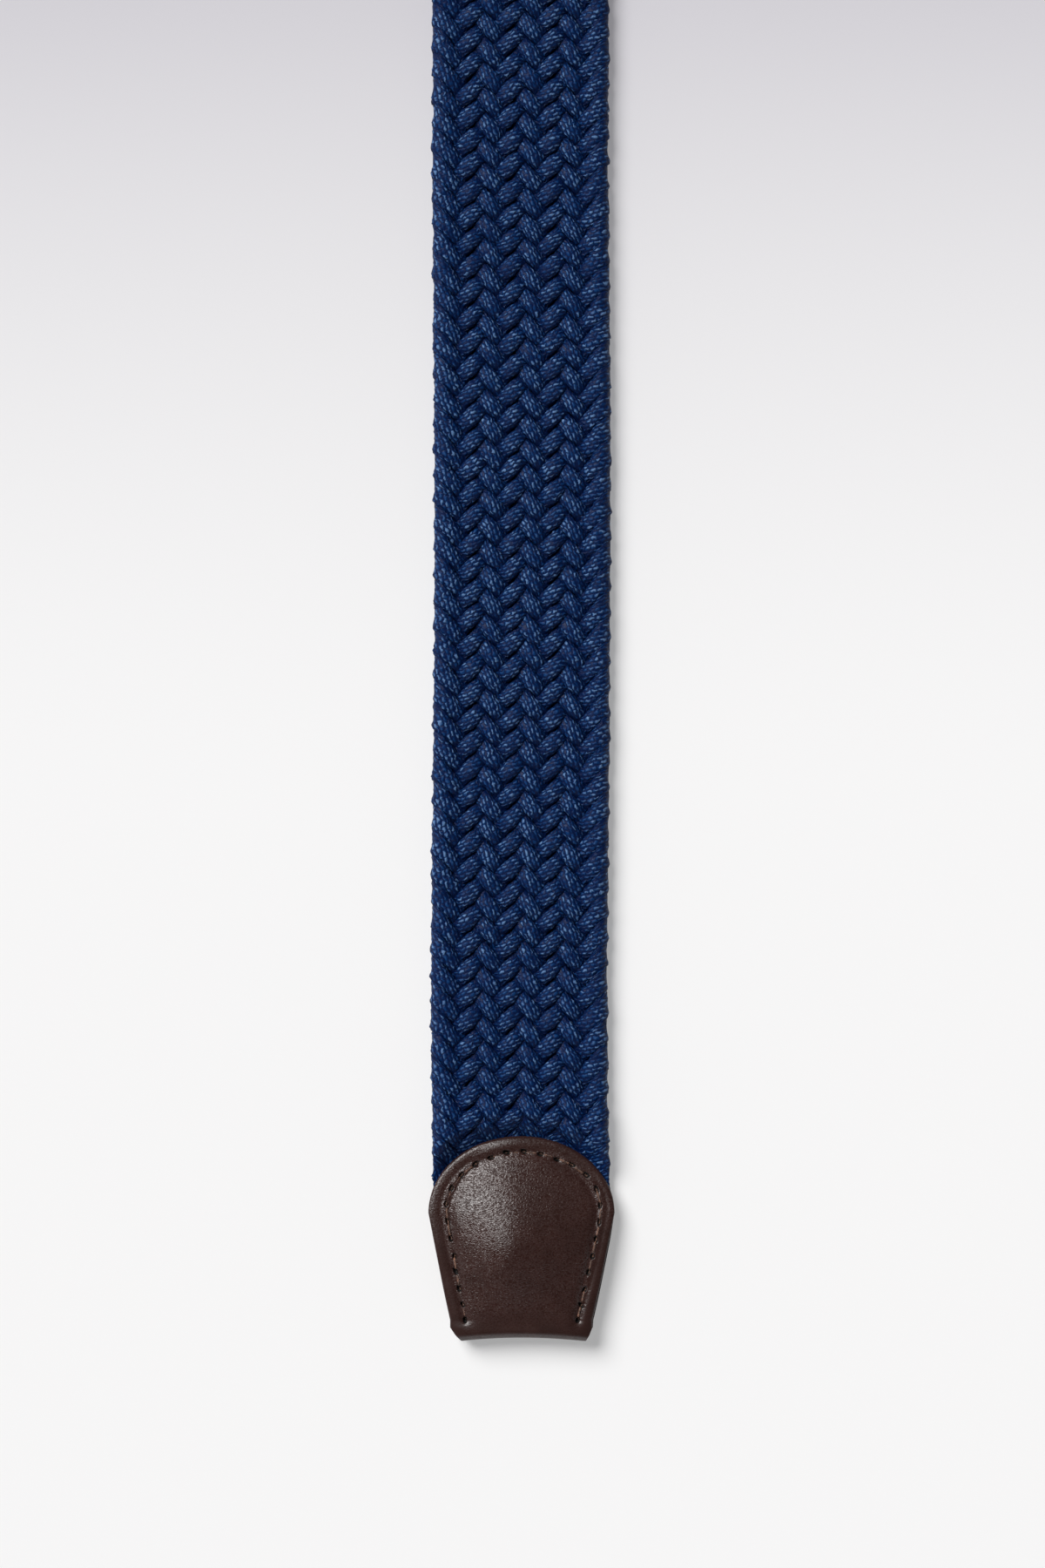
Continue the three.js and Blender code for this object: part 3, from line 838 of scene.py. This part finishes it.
def folded(cap, pattern, pressed, size, outer):
    """Folds the flat cut round the strap: each point's place on the leather's outer or inner face."""
    x, a, side = pattern.T
    flat = np.abs(side) > FLAT
    flat_a = np.where(flat, a, 0)
    room = np.where(flat, pinched(cap, x, flat_a), pocket_height(cap, x, flat_a))
    rim = limited(1 - edge_distance(cap, x, a) / size.rim_reach) * flat
    rolled = size.rim_round * (1 - np.sqrt(1 - rim ** 2)) * outer
    pressed = size.hole_depth * pressed * outer
    skin = LEATHER * outer
    pulled = pinch(cap, x, flat_a) * PULLED * flat
    lift = rim_lift(cap, x, flat_a)
    front_z = LEATHER + room + pulled + skin - rolled - pressed
    back_z = LEATHER + pulled - skin + rolled + pressed
    turn = (1 - side) * math.pi / 2
    across = limited(np.abs(x) / cap.fold_half)
    radius = LEATHER + room / 2
    reach = radius - LEATHER * (not outer)
    hollow = cap.end_hollow * (1 - across ** 2)
    new_a = np.where(flat, a, radius + hollow - reach * np.sin(turn))
    cut = cap.corner_cut * limited(1 - (new_a - hollow) / CORNER_REACH)
    cut = cut * np.where(x > 0, cap.right_corner, 1)
    new_x = x * (1 - cut / cap.fold_half)
    new_z = np.where(flat, np.where(side > 0, front_z, back_z), radius + reach * np.cos(turn))
    slide = back_slide(cap, a) * (side < -FLAT)
    y = place_along(cap, new_a)
    return together(new_x + slide + drift(y), y, new_z + lift)


def place_along(cap, a):
    """y at the distance a from the fold, drawn in a little near it."""
    return cap.fold_line + cap.along * (a + cap.end_draw * smooth(1 - a / END_DRAW_REACH))


def back_slide(cap, a):
    """How far the back flap peeps out sideways from under the front one."""
    return cap.back_shift * smooth(a / BACK_SLIDE.rise) * smooth((BACK_SLIDE.until - a) / BACK_SLIDE.fall)


def grain_strength(cap, pattern):
    """1 where the leather's grain stands up, and less where it is stretched."""
    x, a = np.abs(pattern[:, 0]), pattern[:, 1]
    over_arch = np.hypot(x / SEAM.half, np.maximum(a - SEAM.start, 0) / SEAM.rise)
    past_arch = (over_arch - 1) * SEAM.rise
    past_leg = x - seam_half(cap, a)
    on_side = rising(np.where(a > SEAM.start, past_arch, past_leg), *GRAIN.beside)
    kept = mix(GRAIN.least, GRAIN.most, rising(a, *GRAIN.side))
    return mix(1.0, kept, on_side) * mix(GRAIN.folded, 1.0, rising(a, *GRAIN.fold))


def build_cap(cap, settings, replaced):
    """A folded leather piece with pressed stitch holes, and its thread."""
    size = in_millimetres(settings)
    holes, heads = even_points(seam_line(cap), size.stitch_spacing)
    pattern, faces = sheet_pattern(cap, *SHEET_CELLS)
    if cap.slot_half:
        pattern, faces = cut_slot(cap, pattern, faces)
    pattern, faces = refined(pattern, faces, holes)
    pressed = hole_shape(pattern, holes, heads, size)
    points = np.concatenate([folded(cap, pattern, pressed, size, outer) for outer in (True, False)])
    count = len(pattern)
    edges = dict.fromkeys(edge for face in faces for edge in zip(face, face[1:] + face[:1]))
    rims = [(one, two) for one, two in edges if (two, one) not in edges]
    rim_faces = [[two, one, one + count, two + count] for one, two in rims]
    all_faces = faces + [[i + count for i in reversed(face)] for face in faces] + rim_faces
    if cap.along < 0:
        all_faces = [face[::-1] for face in all_faces]
    piece = new_piece(f"{cap.name}_leather", points, all_faces, leather_material(size), replaced)
    mesh = piece.data
    mesh.materials.append(edge_material(size))
    for polygon in mesh.polygons[2 * len(faces):]:
        polygon.material_index = 1
    # the holes' shape, which the leather's colour paints dark as shade
    add_values(mesh, "stitch_hole", np.concatenate([pressed, np.zeros(count)]))
    add_values(mesh, "grain_strength", np.tile(grain_strength(cap, pattern), 2))
    build_thread(cap, holes, size)


def build_thread(cap, holes, size):
    """The stitches on both faces: each rises out of one hole and dives into the next."""
    tubes, faces, courses = [], [], []
    random = np.random.default_rng(size.seed)
    radius = size.thread_width / 2
    share = np.linspace(0.0, 1.0, STITCH.rings)
    lift = mix(-STITCH.dive, size.thread_height, smooth((STITCH.level - np.abs(share - 0.5)) / STITCH.rise))
    for front in (True, False):
        for one, two in zip(holes[:-1], holes[1:]):
            x, a = mix(one[None, :], two[None, :], share[:, None]).T
            pulled = PULLED * pinch(cap, x, a)
            sunk = random.uniform(0, size.thread_sunk)
            if front:
                z = 2 * LEATHER + pinched(cap, x, a) + pulled + lift - sunk
            else:
                z = np.maximum(pulled - lift, radius + 0.02)
            z = z + rim_lift(cap, x, a)
            y = place_along(cap, a)
            slide = 0 if front else back_slide(cap, a)
            line = together(x + slide + drift(y), y, z)
            faces += tube_faces(STITCH.rings, STITCH.sides, len(tubes) * STITCH.rings * STITCH.sides)
            tubes.append(sweep(line, UPWARD, radius, radius, STITCH.sides))
            courses.append(share * size.stitch_spacing / size.thread_width * STITCH.twist)
    points = np.concatenate(tubes)
    piece = new_piece(f"{cap.name}_stitches", points, faces, thread_material(size))
    map_tubes(piece.data, courses, STITCH.sides, STITCH.plies)


# Buckle

def frame_outline(half, front, corner, start):
    """A U from the left side bar's start over the front bar to the right side bar's start."""
    side_points, bend_points, front_points = 24, 12, 75
    side = np.linspace(start, front - corner, side_points)
    turn = np.linspace(0, math.pi / 2, bend_points)[1:-1]
    left = together(-half, side)
    bend = together(corner - half - corner * np.cos(turn), front - corner + corner * np.sin(turn))
    top = together(np.linspace(corner - half, half - corner, front_points), front)
    mirror = np.array([-1, 1])
    return np.concatenate([left, bend, top, bend[::-1] * mirror, left[::-1] * mirror])


def frame_rings(sides=28):
    """Rings of points round the buckle's frame, with a seat for the prong."""
    end_rings = 5
    end_turn = np.linspace(math.pi / 2, 0, end_rings + 1)[:-1]
    round_off = BUCKLE.end_round
    start = BUCKLE.heel + round_off
    outer = frame_outline(BUCKLE.half, BUCKLE.front, BUCKLE.outer_corner, start)
    inner_half = BUCKLE.half - BUCKLE.side_bar
    inner_front = BUCKLE.front - BUCKLE.front_bar
    inner = frame_outline(inner_half, inner_front, BUCKLE.inner_corner, start)
    back = together(0.0, -round_off * np.sin(end_turn))
    outer = np.concatenate([outer[:1] + back, outer, outer[-1:] + back[::-1]])
    inner = np.concatenate([inner[:1] + back, inner, inner[-1:] + back[::-1]])
    end_inset = round_off * (1 - np.cos(end_turn))
    inset = np.concatenate([end_inset, np.zeros(len(outer) - 2 * end_rings), end_inset[::-1]])
    middle, half = (outer + inner) / 2, np.linalg.norm(outer - inner, axis=1) / 2
    wide, tall = section(sides, BUCKLE.boxy)
    flat = middle[:, None, :] + unit(inner - outer)[:, None, :] * ((half - inset)[:, None] * wide)[..., None]
    z = BUCKLE.thick / 2 + (BUCKLE.thick / 2 - inset)[:, None] * tall
    on_front = rising(flat[..., 1] - inner_front, *PRONG.seat_start) * smooth(tall * 3)
    beside = PRONG.half + PRONG.seat_side - np.abs(flat[..., 0])
    seat = PRONG.seat * smooth(beside / PRONG.seat_side) * on_front
    return np.concatenate([flat, (z - seat)[..., None]], axis=-1)


def prong_rings(sides=20):
    """Rings of points along the prong, from its curl round the heel bar to its seat on the front bar."""
    curl_points, rod_points = 26, 44
    middle = BAR_RADIUS + PRONG.root_thick / 2
    curl = np.radians(np.linspace(*PRONG.curl, curl_points))
    curl_y = BUCKLE.bar_y + middle * np.cos(curl)
    curl_z = BUCKLE.bar_z + middle * np.sin(curl)
    seat_z = BUCKLE.thick - PRONG.seat
    end = BUCKLE.front - PRONG.end_before_front
    share = np.linspace(0.03, 1, rod_points)
    y = np.concatenate([curl_y, mix(BUCKLE.bar_y, end, share)])
    arched = PRONG.arched * np.sin(math.pi * share) ** 2
    rod_z = mix(curl_z[-1], seat_z + PRONG.thick / 2, rising(share, *PRONG.bend)) + arched
    z = np.concatenate([curl_z, rod_z])
    grown = np.concatenate([np.zeros(curl_points), smooth(share / PRONG.thickens)])
    thick = mix(PRONG.root_thick, PRONG.thick, grown)
    line = together(0.0, y, z)
    length = lengths_along(line)
    to_end = np.minimum(length, length[-1] - length)
    blunt = np.sqrt(1 - limited(1 - (to_end + 0.04) / PRONG.end_round) ** 2)
    width = mix(PRONG.half, PRONG.end_share * PRONG.half, rising(length / length[-1], *PRONG.narrows))
    up = together(0.0, np.gradient(-z, length), np.gradient(y, length))
    half_width, half_thick = width * mix(PRONG.blunt[0], 1, blunt), thick / 2 * mix(PRONG.blunt[1], 1, blunt)
    return sweep(line, up, half_width, half_thick, sides, PRONG.boxy)


def build_buckle(settings):
    """The frame with its heel bar, and the prong."""
    material = steel_material(in_millimetres(settings))
    rings = frame_rings()
    faces = tube_faces(*rings.shape[:2])
    reach = BUCKLE.half - BUCKLE.side_bar / 2
    ends = together([-reach, reach], BUCKLE.bar_y, BUCKLE.bar_z)
    bar = sweep(ends, UPWARD, BAR_RADIUS, BAR_RADIUS, BAR_SIDES)
    faces += tube_faces(len(ends), BAR_SIDES, rings[..., 0].size)
    points = np.concatenate([rings.reshape(-1, 3), bar.reshape(-1, 3)])
    new_piece("buckle_frame", points, faces, material, ["buckle"])
    rings = prong_rings()
    new_piece("buckle_prong", rings, tube_faces(*rings.shape[:2]), material, ["buckle"])


# Stage

def build_stage(settings):
    """Floor, light and camera. These settings are in metres."""
    scene = bpy.context.scene
    half = settings.floor_size / 2
    corners = [(x * half, y * half, FLOOR_LEVEL * MM) for x, y in ((-1, -1), (1, -1), (1, 1), (-1, 1))]
    mesh = bpy.data.meshes.new("pale_floor")
    mesh.from_pydata(corners, [], [(0, 1, 2, 3)])
    mesh.materials.append(paper_material(settings))
    new_object("pale_floor", mesh)

    room = Recipe(bpy.data.worlds.new("pale_room"), "Background")
    _, y, z = room.split(room.node("TexCoord"))
    height = room.math("MULTIPLY_ADD", y, settings.wall_turn, z)
    ends = (-settings.wall_turn, settings.wall_top - settings.wall_turn)
    walls = room.limits(height, *ends, settings.wall_strength, settings.fill_strength)
    scene.world = room.finish(Color=(0.96, 0.97, 1.0, 1), Strength=walls)

    key = bpy.data.lights.new("softbox", "SUN")
    key.energy = settings.key_strength
    key.angle = settings.key_spread
    key.color = (1.0, 0.99, 0.985)
    level_way = Vector((-math.sin(settings.key_bearing), math.cos(settings.key_bearing), 0))
    toward = level_way * math.cos(settings.key_height) + Vector((0, 0, math.sin(settings.key_height)))
    new_object("softbox", key).rotation_euler = toward.to_track_quat("Z", "Y").to_euler()

    lens = bpy.data.cameras.new("camera")
    lens.lens = 85
    lens.sensor_width = 36
    lens.clip_start = 0.01
    scene.camera = new_object("camera", lens)
    frame_middle = Vector((VIEW.sideways, TIP.fold_line + VIEW.from_tip, 0)) * MM
    scene.camera.location = frame_middle + Vector((0, 0, VIEW.height * MM * lens.lens / lens.sensor_width))
    scene.view_settings.view_transform = "Standard"


# Settings

def Number(description, value, **more):
    return FloatProperty(description=description, default=value, **more)


def Angle(description, radians):
    return Number(description, radians, subtype="ANGLE")


def Length(description, millimetres):
    return Number(description, millimetres * MM, unit="LENGTH", precision=5, soft_min=0)


def Colour(description, colour):
    return FloatVectorProperty(description=description, default=colour, subtype="COLOR", min=0, max=1)


class BeltStrapSettings(PropertyGroup):
    """Sizes and colours of the braid's cords."""
    crown_width: Length("A cord's width where it lies on top", 3.5)
    under_width: Length("A cord's width where it lies at the back", 5.6)
    broad_from: Number("Height on the cord where it starts to broaden", 0.5)
    broad_over: Number("Height over which it broadens", 0.8)
    cord_thick: Length("A cord's thickness", 2.05)
    dive: Number("How steeply a cord dives beside its crowns", 1.2)
    lean_right: Number("Slant added to crowns that rise right", 0.5)
    lean_left: Number("Slant added to crowns that rise left", 0.75)
    yarn_size: Length("Length of one cell of the sleeve's weave", 0.72)
    yarns_round: IntProperty(description="Cells round a cord, an even number", default=12)
    yarn_relief: Length("Depth between the sleeve's yarns", 0.25)
    lumpiness: Number("How uneven the sleeve is, as a share", 0.05)
    seed: IntProperty(description="Draws the cords' small unevenness", default=7)
    cord_colour: Colour("Navy of the sleeve", (0.0028, 0.034, 0.131))
    # painted shade: between the yarns and where a cord is hidden from the light
    deep_colour: Colour("Between the yarns", (0.0001, 0.0068, 0.045))
    # painted highlight: the glints painted on the raised yarns
    glint_colour: Colour("On the raised yarns", (0.09, 0.175, 0.34))


class BeltLeatherSettings(PropertyGroup):
    """Sizes and colours of the leather and its stitches."""
    leather_colour: Colour("Dark brown", (0.028, 0.0112, 0.009))
    grain_depth: Length("Depth of the grain", 0.045)
    rim_round: Length("How far the cut edge is rounded down", 0.6)
    rim_reach: Length("How far in from the edge the rounding starts", 2.2)
    stitch_spacing: Length("From hole to hole", 3.4)
    hole_length: Length("Half a hole's length", 0.62)
    hole_width: Length("Half a hole's width", 0.34)
    hole_depth: Length("How deep a hole is pressed", 0.7)
    thread_width: Length("Thickness of the thread", 0.5)
    thread_height: Length("Greatest height of the thread's middle over the leather", -0.04)
    thread_sunk: Length("How much deeper some of the stitches lie", 0.3)
    seed: IntProperty(description="Draws the stitches' small unevenness", default=3)
    thread_colour: Colour("Reddish brown", (0.07, 0.034, 0.022))


class BeltBuckleSettings(PropertyGroup):
    """Colour of the buckle."""
    steel_colour: Colour("Satin steel", (0.56, 0.56, 0.55))


class BeltStageSettings(PropertyGroup):
    """Floor and light."""
    floor_size: Length("Side of the floor", 12000.0)
    floor_colour: Colour("Near the tip", (0.6, 0.6, 0.6))
    # painted shade up the belt, for the light's falloff
    floor_far_colour: Colour("Up the belt", (0.423, 0.415, 0.439))
    shade_start: Length("From the tip's end to where the floor starts to darken", 105.0)
    shade_reach: Length("Length over which the floor darkens", 160.0)
    # painted light: the paper's glow, which lifts the shadows on it
    table_glow: Number("Light that comes up through the paper", 0.48)
    key_strength: Number("Strength of the softbox", 4.1)
    key_spread: Angle("Width of the softbox", 0.62)
    key_bearing: Angle("From +Y towards -X", 0.74)
    key_height: Angle("Above the horizon", 0.75)
    wall_strength: Number("Strength of the pale wall at the front", 2.2)
    wall_top: Number("Height of the wall, as the sine of its angle", 0.9)
    wall_turn: Number("How soon the wall fades to the sides", 0.6)
    fill_strength: Number("Strength of the room overhead", 0.08)


# Operators

class BELT_OT_stage(Operator):
    """Adds the floor, the light and the camera"""
    bl_idname = "belt.stage"
    bl_label = "Stage"

    def execute(self, context):
        build_stage(context.scene.belt_stage)
        return {"FINISHED"}


class BELT_OT_strap(Operator):
    """Braids the strap from nine elastic cords"""
    bl_idname = "belt.strap"
    bl_label = "Braided Strap"

    def execute(self, context):
        build_strap(context.scene.belt_strap)
        return {"FINISHED"}


class BELT_OT_leather(Operator):
    """Folds and stitches the leather tip and the buckle's tab"""
    bl_idname = "belt.leather"
    bl_label = "Leather Tip and Tab"

    def execute(self, context):
        build_cap(TIP, context.scene.belt_leather, ["leather_tip"])
        build_cap(TAB, context.scene.belt_leather, ["buckle_tab"])
        return {"FINISHED"}


class BELT_OT_buckle(Operator):
    """Makes the buckle's frame and its prong"""
    bl_idname = "belt.buckle"
    bl_label = "Buckle"

    def execute(self, context):
        build_buckle(context.scene.belt_buckle)
        return {"FINISHED"}


class BELT_PT_maker(Panel):
    """A button for each of the belt's pieces, and their settings"""
    bl_idname = "BELT_PT_maker"
    bl_label = "Braided Belt"
    bl_space_type = "VIEW_3D"
    bl_region_type = "UI"
    bl_category = "Belt"

    def draw(self, context):
        column = self.layout.column()
        for operator in OPERATORS:
            column.operator(operator.bl_idname)
        for name in SETTINGS:
            group = getattr(context.scene, name)
            box = self.layout.box()
            for key in group.__annotations__:
                box.prop(group, key, text=key.replace("_", " ").capitalize())


OPERATORS = (BELT_OT_stage, BELT_OT_strap, BELT_OT_leather, BELT_OT_buckle)
SETTINGS = {
    "belt_strap": BeltStrapSettings,
    "belt_leather": BeltLeatherSettings,
    "belt_buckle": BeltBuckleSettings,
    "belt_stage": BeltStageSettings,
}


def register():
    for kind in (*SETTINGS.values(), *OPERATORS, BELT_PT_maker):
        bpy.utils.register_class(kind)
    for name, kind in SETTINGS.items():
        setattr(bpy.types.Scene, name, PointerProperty(type=kind))


def unregister():
    for name in SETTINGS:
        delattr(bpy.types.Scene, name)
    for kind in (BELT_PT_maker, *reversed(OPERATORS), *reversed(SETTINGS.values())):
        bpy.utils.unregister_class(kind)


def main():
    register()
    bpy.ops.belt.stage()
    bpy.ops.belt.strap()
    bpy.ops.belt.leather()
    bpy.ops.belt.buckle()


if __name__ == "__main__":
    main()
